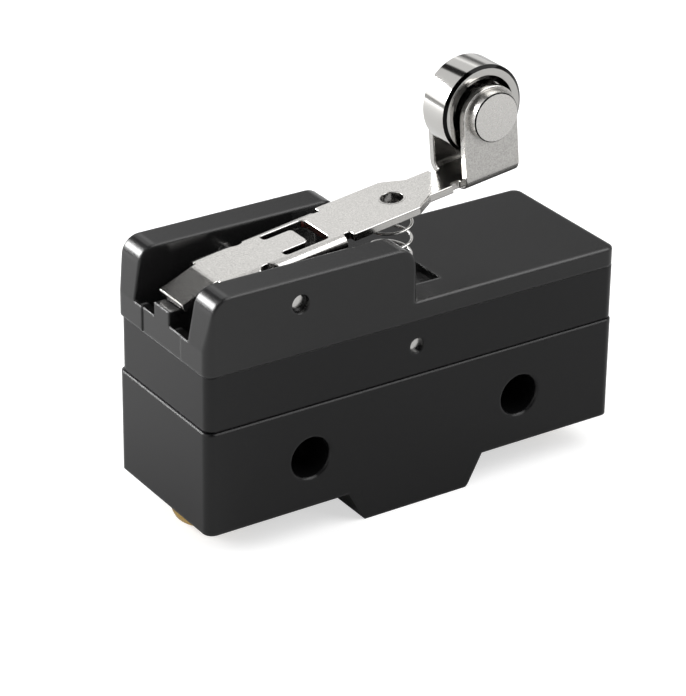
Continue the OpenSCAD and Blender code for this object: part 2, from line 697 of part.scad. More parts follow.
// Terminal plate with a threaded collar, a riser and a shelf
module terminal(screw_x, x0, x1, riser0, shelf0, shelf1, shelf_z, rivet_x) {
    difference() {
        union() {
            block(x0, x1, -plate_half_w, plate_half_w, plate_low, plate_top);
            block(riser0, riser0 + plate_t, -plate_half_w + 0.6, plate_half_w - 0.6,
                plate_top - eps, shelf_z + plate_t);
            block(shelf0, shelf1, -blade_w / 2, blade_w / 2, shelf_z, shelf_z + plate_t);
        }
        translate([screw_x, 0, plate_low - 1]) cylinder(d = screw_d, h = plate_t + 2);
        translate([rivet_x, 0, shelf_z - 1]) cylinder(d = small_rivet_d, h = plate_t + 2);
    }
}

module com_terminal() color(brass)
    terminal(-end_screw_x, -riser_x, com_plate_end, -riser_x, -riser_x, knife_x - 0.2, com_shelf_z,
        blade_rivet_x);
module no_terminal() color(brass)
    terminal(0, no_plate_start, no_riser_x + plate_t, no_riser_x, no_riser_x, contact_x + 1.9,
        no_shelf_z, contact_x);
module nc_terminal() color(brass)
    terminal(end_screw_x, -com_plate_end, riser_x, riser_x - plate_t, contact_x - 1.9, riser_x,
        nc_shelf_z, contact_x);

module no_contact() color(silver) translate([contact_x, 0, 0]) {
    translate([0, 0, no_shelf_z + plate_t]) cylinder(d = contact_d, h = contact_h);
    translate([0, 0, no_shelf_z - 0.3]) cylinder(d = small_rivet_d, h = plate_t + 0.4);
    translate([0, 0, no_shelf_z - 0.5]) cylinder(d = small_rivet_head, h = 0.5);
}
module nc_contact() color(silver) translate([contact_x, 0, 0]) {
    translate([0, 0, nc_shelf_z - contact_h]) cylinder(d = contact_d, h = contact_h);
    translate([0, 0, nc_shelf_z - 0.1]) cylinder(d = small_rivet_d, h = plate_t + 0.4);
    translate([0, 0, nc_shelf_z + plate_t]) cylinder(d = small_rivet_head, h = 0.5);
}

module screw(x) color(brass) translate([x, 0, screw_seat]) {
    difference() {
        rotate_extrude($fn = 64) polygon([[0, 0], [head_d / 2, 0], [head_d / 2, -head_h + 0.9],
            [head_d / 2 - 0.25, -head_h + 0.35], [head_d / 2 - 0.9, -head_h], [0, -head_h]]);
        // Cross recess
        for (a = [0, 90]) rotate([0, 0, a]) block(-2.2, 2.2, -0.45, 0.45, -head_h - 1, -head_h + 1.2);
    }
    translate([0, 0, -0.1]) cylinder(d = screw_d, h = screw_l - 0.3);
    translate([0, 0, screw_l - 0.4]) cylinder(d1 = screw_d, d2 = screw_d - 0.8, h = 0.4);
}
module com_screw() screw(-end_screw_x);
module no_screw() screw(0);
module nc_screw() screw(end_screw_x);

module washer(x) color(steel) translate([x, 0, screw_seat]) linear_extrude(washer_t) difference() {
    union() {
        circle(head_d / 2 - 0.2);
        for (a = [0:30:330]) rotate(a) translate([head_d / 2 - 0.5, -0.45]) square([0.8, 0.9]);
    }
    circle(screw_d / 2);
}
module com_washer() washer(-end_screw_x);
module no_washer() washer(0);
module nc_washer() washer(end_screw_x);

case();
cover();
lever_housing();
hinge_pin();
cover_pin();
lever();
roller();
roller_rivet();
return_spring();
plunger();
snap_blade();
bow_spring();
moving_contact();
blade_bracket();
blade_rivet();
com_terminal();
no_terminal();
nc_terminal();
no_contact();
nc_contact();
com_screw();
no_screw();
nc_screw();
com_washer();
no_washer();
nc_washer();
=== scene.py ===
import json
from math import cos, pi, radians, sin

import bmesh
import bpy
import numpy as np
from mathutils import Matrix, Vector


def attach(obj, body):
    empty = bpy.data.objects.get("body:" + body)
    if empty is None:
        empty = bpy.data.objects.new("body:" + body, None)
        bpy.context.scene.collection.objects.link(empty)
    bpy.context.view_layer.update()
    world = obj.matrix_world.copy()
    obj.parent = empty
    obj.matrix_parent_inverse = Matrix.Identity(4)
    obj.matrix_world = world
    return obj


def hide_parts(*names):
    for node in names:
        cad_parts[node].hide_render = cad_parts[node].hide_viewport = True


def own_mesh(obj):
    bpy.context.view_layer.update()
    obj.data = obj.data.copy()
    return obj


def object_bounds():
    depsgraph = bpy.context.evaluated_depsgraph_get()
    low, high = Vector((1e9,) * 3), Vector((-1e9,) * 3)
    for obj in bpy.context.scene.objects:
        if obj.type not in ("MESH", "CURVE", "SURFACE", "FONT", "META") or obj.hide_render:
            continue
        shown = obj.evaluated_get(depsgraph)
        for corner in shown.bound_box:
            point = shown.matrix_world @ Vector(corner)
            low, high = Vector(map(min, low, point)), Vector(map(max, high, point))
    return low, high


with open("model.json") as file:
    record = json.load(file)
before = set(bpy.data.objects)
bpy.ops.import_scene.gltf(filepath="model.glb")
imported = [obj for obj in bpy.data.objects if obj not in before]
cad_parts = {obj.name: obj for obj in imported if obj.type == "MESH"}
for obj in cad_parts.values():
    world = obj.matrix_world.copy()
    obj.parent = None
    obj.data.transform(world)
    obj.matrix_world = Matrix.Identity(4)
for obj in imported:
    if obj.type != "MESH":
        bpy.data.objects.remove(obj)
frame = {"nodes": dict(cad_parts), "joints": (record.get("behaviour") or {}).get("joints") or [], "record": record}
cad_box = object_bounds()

# Looks of the lever micro switch. The pieces are made in millimetres, and camera, floor and lamps
# stand in metres. Angles are in degrees.
MM = 0.001


def joint_place(name):
    """Where a joint of the frame sits, in millimetres."""
    return Vector(next(j["pos_m"] for j in frame["joints"] if j["name"] == name)) / MM


HINGE = joint_place("lever_hinge")
AXLE = joint_place("roller_spin")


# ---------- node helpers ----------

NOISE_LOW, NOISE_HIGH = 0.3, 0.7    # most of a noise's values lie between these


def new_material(name):
    """A node material with a bare Principled shader, that shader, and the nodes and links."""
    material = bpy.data.materials.new(name)
    material.use_nodes = True
    tree = material.node_tree
    return material, tree.nodes["Principled BSDF"], tree.nodes, tree.links


def set_inputs(node, **values):
    """Fixed values for a node's inputs; an underscore stands for a space in a socket's name."""
    for name, value in values.items():
        node.inputs[name.replace("_", " ")].default_value = value


def grain_noise(nodes, links, grain_mm, detail, stretch=(1, 1, 1)):
    """Noise in the object's own space, with features of about grain_mm."""
    place = nodes.new("ShaderNodeTexCoord")
    mapping = nodes.new("ShaderNodeMapping")
    set_inputs(mapping, Scale=stretch)
    noise = nodes.new("ShaderNodeTexNoise")
    set_inputs(noise, Scale=1 / (grain_mm * MM), Detail=detail)
    links.new(place.outputs["Object"], mapping.inputs["Vector"])
    links.new(mapping.outputs["Vector"], noise.inputs["Vector"])
    return noise.outputs["Fac"]


def spread(nodes, links, value, low, high, start=NOISE_LOW, end=NOISE_HIGH):
    """Maps start..end of a value on to low..high."""
    ranged = nodes.new("ShaderNodeMapRange")
    set_inputs(ranged, From_Min=start, From_Max=end, To_Min=low, To_Max=high)
    links.new(value, ranged.inputs["Value"])
    return ranged.outputs["Result"]


def tint(nodes, links, value, dark, light):
    """Colour between dark and light by a noise value."""
    ramp = nodes.new("ShaderNodeValToRGB")
    ends = zip(ramp.color_ramp.elements, (NOISE_LOW, NOISE_HIGH), (dark, light))
    for element, position, colour in ends:
        element.position = position
        element.color = (*colour, 1)
    links.new(value, ramp.inputs["Fac"])
    return ramp.outputs["Color"]


def set_stops(color_ramp, stops):
    """Grey stops of a colour ramp, from pairs of position and level."""
    elements = color_ramp.elements
    while len(elements) < len(stops):
        elements.new(0.5)
    for element, (position, level) in zip(elements, stops):
        element.position = position
        element.color = (level, level, level, 1)


def mix_colours(nodes, links, factor, a, b, blend="MIX"):
    """Mixes or multiplies b into a. Each of the three is a socket or a fixed value."""
    mixed = nodes.new("ShaderNodeMix")
    mixed.data_type = "RGBA"
    mixed.blend_type = blend
    for name, value in (("Factor", factor), ("A", a), ("B", b)):
        if isinstance(value, bpy.types.NodeSocket):
            links.new(value, mixed.inputs[name])
        else:
            mixed.inputs[name].default_value = value
    return mixed.outputs["Result"]


def bump(nodes, links, shader, value, depth_mm, edge_mm=0):
    """Surface relief from a noise value. Edge is the small radius that sharp edges are worn to."""
    relief = nodes.new("ShaderNodeBump")
    if edge_mm:
        worn = nodes.new("ShaderNodeBevel")
        worn.samples = 6
        set_inputs(worn, Radius=edge_mm * MM)
        links.new(worn.outputs["Normal"], relief.inputs["Normal"])
    set_inputs(relief, Strength=1.0, Distance=depth_mm * MM)
    links.new(value, relief.inputs["Height"])
    links.new(relief.outputs["Normal"], shader.inputs["Normal"])


# ---------- materials ----------

MOULD_RELIEF = 0.003         # depth of a moulded surface's grain
TURNING_GRAIN = 0.25         # turning marks: size, how they run round the axis, and depth
TURNING_RUN = (1, 0.2, 1)
TURNING_RELIEF = 0.0005
# How much painted dark reflection a turned face gets, by how far its normal leans along the
# axis: 0 on the tread, 1 on the flat ends
PAINTED_DARK_SLOPES = [(0.30, 0), (0.48, 1), (0.90, 1), (0.97, 0)]
# Painted shade in creases: how open a crease is where the shade is full and where it ends, and its darkest tone
CREASE_SHADE_FULL, CREASE_SHADE_END, CREASE_SHADE_TONE = 0.25, 0.8, 0.06


def plastic(name, dark, light, roughness, grain, ior, edge=0):
    """Moulded plastic: a fine grain that the colour, the gloss and the surface follow."""
    material, shader, nodes, links = new_material(name)
    set_inputs(shader, IOR=ior)
    noise = grain_noise(nodes, links, grain, 2)
    links.new(tint(nodes, links, noise, dark, light), shader.inputs["Base Color"])
    links.new(spread(nodes, links, noise, *roughness), shader.inputs["Roughness"])
    bump(nodes, links, shader, noise, MOULD_RELIEF, edge)
    return material


def metal(name, dark, light, roughness, grain, stretch=(1, 1, 1), relief=0.002, crease_shade_mm=0):
    """Bare metal: colour and gloss vary with a grain that may be drawn out one way.

    The last argument is how far the painted shade in creases and between close faces reaches.
    """
    material, shader, nodes, links = new_material(name)
    set_inputs(shader, Metallic=1.0)
    noise = grain_noise(nodes, links, grain, 3, stretch)
    colour = tint(nodes, links, noise, dark, light)
    if crease_shade_mm:
        # Painted shade: the base colour darkens where ambient occlusion finds close faces
        crease = nodes.new("ShaderNodeAmbientOcclusion")
        crease.samples = 8
        set_inputs(crease, Distance=crease_shade_mm * MM)
        painted_shade = spread(nodes, links, crease.outputs["AO"], CREASE_SHADE_TONE, 1.0, CREASE_SHADE_FULL, CREASE_SHADE_END)
        colour = mix_colours(nodes, links, 1, colour, painted_shade, "MULTIPLY")
    links.new(colour, shader.inputs["Base Color"])
    links.new(spread(nodes, links, noise, *roughness), shader.inputs["Roughness"])
    bump(nodes, links, shader, noise, relief)
    return material


def turned_steel(name, bright, dark, roughness):
    """Turned steel whose sloping faces, the chamfers and the recess, get a painted dark reflection: a near-black
    base colour that leaves them dark and dull.
    """
    material, shader, nodes, links = new_material(name)
    set_inputs(shader, Metallic=1.0)
    place = nodes.new("ShaderNodeTexCoord")
    split = nodes.new("ShaderNodeSeparateXYZ")
    links.new(place.outputs["Normal"], split.inputs[0])
    slope = nodes.new("ShaderNodeMath")
    slope.operation = "ABSOLUTE"
    links.new(split.outputs["Y"], slope.inputs[0])
    painted_dark_mask = nodes.new("ShaderNodeValToRGB")
    set_stops(painted_dark_mask.color_ramp, PAINTED_DARK_SLOPES)
    links.new(slope.outputs[0], painted_dark_mask.inputs["Fac"])
    # painted dark reflection on the sloping faces
    colour = mix_colours(nodes, links, painted_dark_mask.outputs["Color"], (*bright, 1), (*dark, 1))
    links.new(colour, shader.inputs["Base Color"])
    noise = grain_noise(nodes, links, TURNING_GRAIN, 3, TURNING_RUN)
    links.new(spread(nodes, links, noise, *roughness), shader.inputs["Roughness"])
    bump(nodes, links, shader, noise, TURNING_RELIEF)
    return material


# base colour of the painted dark reflection on turned slopes
PAINTED_SLOPE_DARK = (0.012, 0.012, 0.012)
LOOKS = {
    "black_moulding": (plastic, dict(
        dark=(0.004, 0.004, 0.0043), light=(0.006, 0.006, 0.0065), roughness=(0.15, 0.19),
        grain=0.12, ior=1.40, edge=0.4)),
    # copy of black_moulding with painted light: lighter colour and stronger gloss
    "moulding_painted_lighter": (plastic, dict(
        dark=(0.009, 0.009, 0.0092), light=(0.013, 0.013, 0.0132), roughness=(0.16, 0.20),
        grain=0.12, ior=1.5, edge=0.4)),
    # the sheet's base colour carries painted shade in its creases
    "stainless_sheet": (metal, dict(
        dark=(0.50, 0.49, 0.47), light=(0.74, 0.725, 0.70), roughness=(0.15, 0.22),
        grain=0.14, relief=0.006, crease_shade_mm=3)),
    "polished_steel": (turned_steel, dict(
        bright=(0.62, 0.61, 0.59), dark=PAINTED_SLOPE_DARK, roughness=(0.08, 0.12))),
    "rivet_steel": (turned_steel, dict(
        bright=(0.76, 0.745, 0.72), dark=PAINTED_SLOPE_DARK, roughness=(0.24, 0.32))),
    "pin_steel": (metal, dict(
        dark=(0.70, 0.69, 0.67), light=(0.80, 0.79, 0.77), roughness=(0.18, 0.26), grain=0.15)),
    "spring_wire": (metal, dict(
        dark=(0.66, 0.65, 0.63), light=(0.80, 0.79, 0.77), roughness=(0.12, 0.2), grain=0.1)),
    "plunger_plastic": (plastic, dict(
        dark=(0.20, 0.035, 0.025), light=(0.26, 0.05, 0.035), roughness=(0.35, 0.45),
        grain=0.15, ior=1.45)),
    "spring_copper": (metal, dict(
        dark=(0.70, 0.40, 0.22), light=(0.82, 0.50, 0.30), roughness=(0.2, 0.3),
        grain=0.2, stretch=(0.2, 1, 1))),
    "contact_silver": (metal, dict(
        dark=(0.80, 0.80, 0.78), light=(0.90, 0.90, 0.88), roughness=(0.2, 0.3), grain=0.2)),
    "terminal_brass": (metal, dict(
        dark=(0.62, 0.42, 0.15), light=(0.76, 0.54, 0.22), roughness=(0.22, 0.34),
        grain=0.2, stretch=(0.25, 1, 1))),
    "screw_brass": (metal, dict(
        dark=(0.58, 0.38, 0.12), light=(0.78, 0.55, 0.20), roughness=(0.18, 0.3), grain=0.2)),
    "washer_steel": (metal, dict(
        dark=(0.55, 0.54, 0.52), light=(0.68, 0.67, 0.65), roughness=(0.25, 0.38), grain=0.15)),
}
MATERIALS = {name: make(name, **look) for name, (make, look) in LOOKS.items()}


def dress(obj, slot, finish=None):
    """Gives a piece its record slot, and the slot's material or a finish of its own."""
    obj.data.materials.clear()
    obj.data.materials.append(MATERIALS[finish or slot])


SLOT_OF = {row["node"]: row["material_slot"] for row in frame["record"]["subparts"]}
FINISH_OF = {"lever_housing": "moulding_painted_lighter"}   # a lighter, glossier copy of the case and cover moulding: painted light for the brighter upper front
for node_name, node in frame["nodes"].items():
    dress(node, SLOT_OF[node_name], FINISH_OF.get(node_name))


# ---------- mesh helpers ----------

CURVED_SMOOTH = 35      # edges that turn by less than this are shaded smooth
FACE_WEIGHT = 80        # how strongly large faces hold the shading
ON_AXIS = 1e-6          # a profile point this near the axis is one vertex, not a ring
PROFILE_STEPS = 5       # facets of a rounded corner, in a turned profile and in the lever's blank
OUTLINE_STEPS = 8


def place_mesh(name, bm):
    """Turns a bmesh into an object of the scene."""
    mesh = bpy.data.meshes.new(name)
    bm.to_mesh(mesh)
    bm.free()
    obj = bpy.data.objects.new(name, mesh)
    bpy.context.scene.collection.objects.link(obj)
    return obj


def finish_mesh(name, bm, body, slot, replaced=(), smooth_deg=CURVED_SMOOTH):
    """Turns a bmesh in millimetres into a piece that rides on a body and stands for CAD nodes."""
    bmesh.ops.scale(bm, vec=(MM, MM, MM), verts=bm.verts)
    bmesh.ops.recalc_face_normals(bm, faces=bm.faces)
    obj = place_mesh(name, bm)
    obj.data.shade_smooth()
    obj.data.set_sharp_from_angle(angle=radians(smooth_deg))
    dress(obj, slot)
    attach(obj, body)
    shading = obj.modifiers.new("shading", "WEIGHTED_NORMAL")
    shading.keep_sharp = True
    shading.weight = FACE_WEIGHT
    if replaced:
        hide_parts(*replaced)
    return obj


def lathe(profile, centre, steps, axis="Y"):
    """Revolves (radius, along) points about an axis through centre, in steps facets."""
    bm = bmesh.new()
    rings = []
    for radius, along in profile:
        if radius < ON_AXIS:
            rings.append([bm.verts.new((0, along, 0))])
            continue
        rings.append([bm.verts.new((radius * cos(2 * pi * i / steps), along,
                                    radius * sin(2 * pi * i / steps))) for i in range(steps)])
    for a, b in zip(rings, rings[1:]):
        for i in range(steps):
            j = (i + 1) % steps
            corners = [a[i % len(a)], a[j % len(a)], b[j % len(b)], b[i % len(b)]]
            corners = [v for n, v in enumerate(corners) if v not in corners[:n]]
            if len(corners) > 2:
                bm.faces.new(corners)
    if axis == "Z":
        bmesh.ops.rotate(bm, verts=bm.verts, cent=(0, 0, 0),
                         matrix=Matrix.Rotation(pi / 2, 3, "X"))
    bmesh.ops.translate(bm, verts=bm.verts, vec=centre)
    return bm


def corner_curve(before, corner, after, radius, steps):
    """The points that round a corner, and take up less than half the way to its neighbours."""
    c = np.array(corner, float)
    to_a, to_b = np.array(before, float) - c, np.array(after, float) - c
    la, lb = np.linalg.norm(to_a), np.linalg.norm(to_b)
    to_a, to_b = to_a / la, to_b / lb
    half = np.arccos(np.clip(to_a @ to_b, -1, 1)) / 2
    cut = min(radius / np.tan(half), 0.49 * la, 0.49 * lb)
    start, end = c + to_a * cut, c + to_b * cut
    points = ((1 - t) ** 2 * start + 2 * t * (1 - t) * c + t * t * end
              for t in (i / steps for i in range(steps + 1)))
    return [(float(x), float(y)) for x, y in points]


def rounded(points, radii):
    """An open polyline with each inner corner rounded to its radius."""
    out = [points[0]]
    for before, corner, after, radius in zip(points, points[1:], points[2:], radii):
        out += corner_curve(before, corner, after, radius, PROFILE_STEPS)
    return out + [points[-1]]


def rounded_outline(corners):
    """A closed outline of (x, y, radius) corners; a radius of 0 keeps the corner sharp."""
    points = [(x, y) for x, y, radius in corners]
    out = []
    for i, (x, y, radius) in enumerate(corners):
        if radius > 0:
            after = points[(i + 1) % len(points)]
            out += corner_curve(points[i - 1], (x, y), after, radius, OUTLINE_STEPS)
        else:
            out.append((x, y))
    return out


def arc(cx, cy, r, a0, a1, steps):
    """Points on an arc, angles in degrees."""
    return [(cx + r * cos(radians(a0 + (a1 - a0) * i / steps)),
             cy + r * sin(radians(a0 + (a1 - a0) * i / steps))) for i in range(steps + 1)]


def circle(cx, cy, r):
    """A closed circle of 36 points."""
    return arc(cx, cy, r, 0, 350, 35)


# ---------- camera, floor and light ----------

LENS, SENSOR = 160.33, 36               # millimetres
SHIFT_X, SHIFT_Y = -0.0397, -0.0187
CAMERA_TURN = (-34.08, 26.64, 1.02)     # azimuth, elevation and roll
CAMERA_AIM = (0, 0, 6.55 * MM)
CAMERA_AWAY = 0.31607

PEAK = 1.6                # the brightest strip of the surroundings; 1 is white
# Brightness of the surroundings by the angle about Y, in half turns from +X over the top to -X
STRIPS = [
    (0.0, 0.85), (0.12, 0.85),                   # right end
    (0.18, 0.20), (0.212, 0.18),                 # dark gap that the deck and wall tops reflect
    (0.24, 0.48), (0.28, 0.90),
    (0.297, 1.35), (0.318, 1.30),                # strip that the lever's tongue and neck reflect
    (0.335, 0.85), (0.465, 0.85),                # overhead
    (0.484, 0.02), (0.558, 0.03),                # dark gap that the tail reflects
    (0.58, 0.80), (0.755, 0.80),                 # left side
    (0.79, PEAK), (1.0, PEAK),                   # low at the left, the roller's white band
]
FRONT_FROM, FRONT_TO, FRONT_DARK = -0.7, 0.0, 0.08   # fade towards what the front faces

FLOOR_HALF = 3
FLOOR_GREY = 0.62
FLOOR_LIFT = 0.6          # added to what the camera sees, which makes the floor white

LAMP_AIM = (0, 0, 0.008)
LAMPS = [  # name, azimuth, elevation, distance, width, height in metres, power in watts
    ("key", -143, 21, 0.35, 0.15, 0.12, 1.05),        # low behind the left end
    ("front_top", 48, 48, 1.2, 1.10, 0.90, 9.5),      # the object's main light
    ("front_low", 34, 20, 1.2, 1.30, 0.60, 1.6),
]


def rotation(azimuth, elevation, roll):
    """Axes of a camera or lamp that looks at the object. From azimuth 0 it looks along +Y."""
    a, e, r = radians(azimuth), radians(elevation), radians(roll)
    back = Vector((sin(a) * cos(e), -cos(a) * cos(e), sin(e)))
    right = (-back).cross(Vector((0, 0, 1))).normalized()
    up = right.cross(-back)
    turned_right = cos(r) * right + sin(r) * up
    turned_up = -sin(r) * right + cos(r) * up
    return Matrix((turned_right, turned_up, back)).transposed().to_4x4()


def stand_back(aim, turn, distance):
    """The place from which a camera or lamp with these axes looks at aim."""
    return Matrix.Translation(Vector(aim) + turn.to_3x3() @ Vector((0, 0, distance))) @ turn


def add_camera():
    data = bpy.data.cameras.new("camera")
    data.lens = LENS
    data.sensor_width = SENSOR
    data.shift_x = SHIFT_X
    data.shift_y = SHIFT_Y
    data.clip_start = 0.01
    data.clip_end = 10
    camera = bpy.data.objects.new("camera", data)
    bpy.context.scene.collection.objects.link(camera)
    camera.matrix_world = stand_back(CAMERA_AIM, rotation(*CAMERA_TURN), CAMERA_AWAY)
    bpy.context.scene.camera = camera


def add_world():
    """White to the camera. To the object, strip softboxes that run front to back overhead."""
    world = bpy.data.worlds.new("studio")
    bpy.context.scene.world = world
    world.use_nodes = True
    nodes, links = world.node_tree.nodes, world.node_tree.links
    background = nodes["Background"]
    place = nodes.new("ShaderNodeTexCoord")
    split = nodes.new("ShaderNodeSeparateXYZ")
    links.new(place.outputs["Generated"], split.inputs[0])
    angle = nodes.new("ShaderNodeMath")
    angle.operation = "ARCTAN2"
    links.new(split.outputs["Z"], angle.inputs[0])
    links.new(split.outputs["X"], angle.inputs[1])
    half_turns = nodes.new("ShaderNodeMath")
    half_turns.operation = "DIVIDE"
    half_turns.inputs[1].default_value = pi
    links.new(angle.outputs[0], half_turns.inputs[0])
    ramp = nodes.new("ShaderNodeValToRGB")
    ramp.color_ramp.interpolation = "EASE"
    # A ramp's colour ends at 1, so the strength carries the peak
    set_stops(ramp.color_ramp, [(position, level / PEAK) for position, level in STRIPS])
    links.new(half_turns.outputs[0], ramp.inputs["Fac"])
    front = nodes.new("ShaderNodeMapRange")
    front.interpolation_type = "SMOOTHSTEP"
    set_inputs(front, From_Min=FRONT_FROM, From_Max=FRONT_TO, To_Min=FRONT_DARK, To_Max=1.0)
    links.new(split.outputs["Y"], front.inputs["Value"])
    around = mix_colours(nodes, links, 1, ramp.outputs["Color"], front.outputs["Result"],
                         "MULTIPLY")
    rays = nodes.new("ShaderNodeLightPath")
    seen = mix_colours(nodes, links, rays.outputs["Is Camera Ray"], around,
                       (1 / PEAK, 1 / PEAK, 1 / PEAK, 1))
    links.new(seen, background.inputs["Color"])
    set_inputs(background, Strength=PEAK)


def add_floor():
    """A wide matt floor under the object, at the CAD box's lower side."""
    bm = bmesh.new()
    bmesh.ops.create_grid(bm, x_segments=1, y_segments=1, size=FLOOR_HALF)
    bmesh.ops.translate(bm, verts=bm.verts, vec=(0, 0, cad_box[0][2]))
    floor = place_mesh("floor", bm)
    material, shader, nodes, links = new_material("floor")
    set_inputs(shader, Base_Color=(FLOOR_GREY, FLOOR_GREY, FLOOR_GREY, 1), Roughness=0.9,
               Specular_IOR_Level=0.0, Emission_Color=(1, 1, 1, 1))
    rays = nodes.new("ShaderNodeLightPath")
    lift = nodes.new("ShaderNodeMath")
    lift.operation = "MULTIPLY"
    lift.inputs[1].default_value = FLOOR_LIFT
    links.new(rays.outputs["Is Camera Ray"], lift.inputs[0])
    links.new(lift.outputs[0], shader.inputs["Emission Strength"])
    floor.data.materials.append(material)


def add_softbox(name, azimuth, elevation, distance, width, height, power):
    """An area light that looks at the object from an azimuth (0 is in front) and elevation."""
    data = bpy.data.lights.new(name, "AREA")
    data.shape = "RECTANGLE"
    data.size = width
    data.size_y = height
    data.energy = power
    lamp = bpy.data.objects.new(name, data)
    bpy.context.scene.collection.objects.link(lamp)
    lamp.matrix_world = stand_back(LAMP_AIM, rotation(azimuth, elevation, 0), distance)


bpy.context.scene.view_settings.view_transform = "Standard"
add_camera()
add_world()
add_floor()
for lamp in LAMPS:
    add_softbox(*lamp)


# ---------- lever ----------

TILT = 7.6                   # free position, above level
SHEET = 0.9                  # thickness
SHEET_TOP = 1.87             # upper face above the hinge
SHEET_MID = SHEET_TOP - SHEET / 2
EDGE = 0.13                  # rounding of the blanked edges
HALF = 3.65                  # half width over the flanges
CUT = 0.1                    # how far the cuts at the ends of a bend run past its start
BEND_STEPS = 8               # facets of a bend
GUARD = 0.15                 # from a bend to the cut that ends the flat face beside it
LEVER_SMOOTH = 13            # just over one facet of a bend, so flat faces keep their shading

FLANGE_FROM, FLANGE_TO = -5.15, 9.0    # along the lever from the hinge
FLANGE_DROP = 1.7            # below the hinge
FLANGE_R = 0.5               # middle radius of the flange bends
FLANGE_V = HALF - SHEET / 2 - FLANGE_R          # half width where the bend starts
FLANGE_ARC = FLANGE_R * pi / 2
FLANGE_EDGE = FLANGE_V + FLANGE_ARC + (SHEET_MID - FLANGE_R + FLANGE_DROP)
STEP = 0.75                  # cut between the flange and the full width behind it

PIN_HOLE_R = 0.83
PIN_V = FLANGE_V + FLANGE_ARC + SHEET_MID - FLANGE_R    # the hinge hole in the flat sheet
NOTCH_R = 1.1                # notches in the bends over the pin
NOTCH_V = FLANGE_V - 0.08 + NOTCH_R
NOTCH_WAIST = (1.0, 3.45)    # where the notch runs into the hinge hole

TAIL_START, TAIL_L, TAIL_HALF = -5.45, 4.0, 2.2
TAIL_BEND, TAIL_R = 15.5, 1.0

# Slot round the tongue that works the plunger
SLOT_FROM, SLOT_TO, SLOT_HALF = 2.5, 7.65, 2.5
TONGUE_TIP, TONGUE_HALF = 5.7, 1.6

SPRING_REACH = 16.3          # from the hinge, level
SEAT = SPRING_REACH / cos(radians(TILT)) + SHEET_TOP * sin(radians(TILT)) / cos(radians(TILT))
SEAT_R = 1.15
COLLAR_WALL, COLLAR_DROP = 0.3, 0.45
COLLAR_LIP, COLLAR_PROUD = 0.25, 0.02     # its lip over the upper face: reach and height
COLLAR_FACETS = 48

SHOULDER = SEAT + 0.9
NECK, NECK_HALF = SEAT + 3.1, 2.25
NECK_EASE = (0.5, 0.35)      # the cut-off corner where the shoulder's slant meets the neck

REACH, RISE = 27.18, 8.66    # roller axis along and above the lever
RIVET_R = 1.3
EAR_HALF = 3.25              # half width of an ear's round top
EAR_IN = 2.4                 # half the room between the ears
EAR_R = 1.0                  # middle radius of the ear bends
EAR_SHIFT = 0.25             # the ear's foot lies back from the axis, and its round top below it
EAR_V = EAR_IN + SHEET / 2 - EAR_R
EAR_ARC = EAR_R * pi / 2
EAR_AXIS = EAR_V + EAR_ARC + RISE - (SHEET_MID + EAR_R)   # rivet axis in the flat sheet
FORK = REACH - EAR_SHIFT - EAR_HALF
FORK_END = FORK + 2 * EAR_HALF
RELIEF = FORK - 1.0


def to_world(u, v, w):
    """A point of the lever's own frame (along, across, up from the hinge) in the part's frame."""
    t = radians(TILT)
    return Vector((HINGE.x + u * cos(t) - w * sin(t), v, HINGE.z + u * sin(t) + w * cos(t)))


def lever_blank():
    """Outline of the unfolded lever and its holes, in the plane of the sheet."""
    half = [  # along, across and corner radius, from the tail to the fork
        (TAIL_START - TAIL_L, TAIL_HALF, 0.2), (FLANGE_FROM, TAIL_HALF, 0.1),
        (FLANGE_FROM, FLANGE_EDGE, 0.7), (FLANGE_TO, FLANGE_EDGE, 0.7),
        (FLANGE_TO, FLANGE_V + CUT, 0.2), (FLANGE_TO + STEP, FLANGE_V + CUT, 0.25),
        (FLANGE_TO + STEP, HALF, 0.2), (SHOULDER, HALF, 1.2),
        (NECK - NECK_EASE[0], NECK_HALF + NECK_EASE[1], 1.0), (NECK, NECK_HALF, 0.8),
        (RELIEF, NECK_HALF, 0.1), (RELIEF, EAR_V - CUT, 0.2),
        (FORK, EAR_V - CUT, 0.15), (FORK, EAR_V + EAR_ARC, 0)]
    half += [(x, y, 0) for x, y in arc(REACH, EAR_AXIS - EAR_SHIFT, EAR_HALF, 178, 2, 28)]
    half.append((FORK_END, EAR_V + EAR_ARC, 0))
    mirrored = [(x, -y, radius) for x, y, radius in reversed(half)]
    outline = rounded_outline(half + [(FORK_END, 0, 0)] + mirrored)

    holes = [circle(SEAT, 0, SEAT_R)]
    waist, waist_v = NOTCH_WAIST
    for side in (1, -1):
        holes.append(circle(REACH, side * EAR_AXIS, RIVET_R))
        pin_and_notch = (arc(0, PIN_V, PIN_HOLE_R, -30, 210, 24) + [(-waist, waist_v)] +
                         arc(0, NOTCH_V, NOTCH_R, -150, -30, 12) + [(waist, waist_v)])
        holes.append([(x, side * y) for x, y in pin_and_notch])
    holes.append(rounded_outline([
        (SLOT_FROM, SLOT_HALF, 0.42), (SLOT_TO, SLOT_HALF, 0.7),
        (SLOT_TO, -SLOT_HALF, 0.7), (SLOT_FROM, -SLOT_HALF, 0.42),
        (SLOT_FROM, -TONGUE_HALF, 0.42), (TONGUE_TIP, -TONGUE_HALF, 0.6),
        (TONGUE_TIP, TONGUE_HALF, 0.6), (SLOT_FROM, TONGUE_HALF, 0.42)]))
    return outline, holes


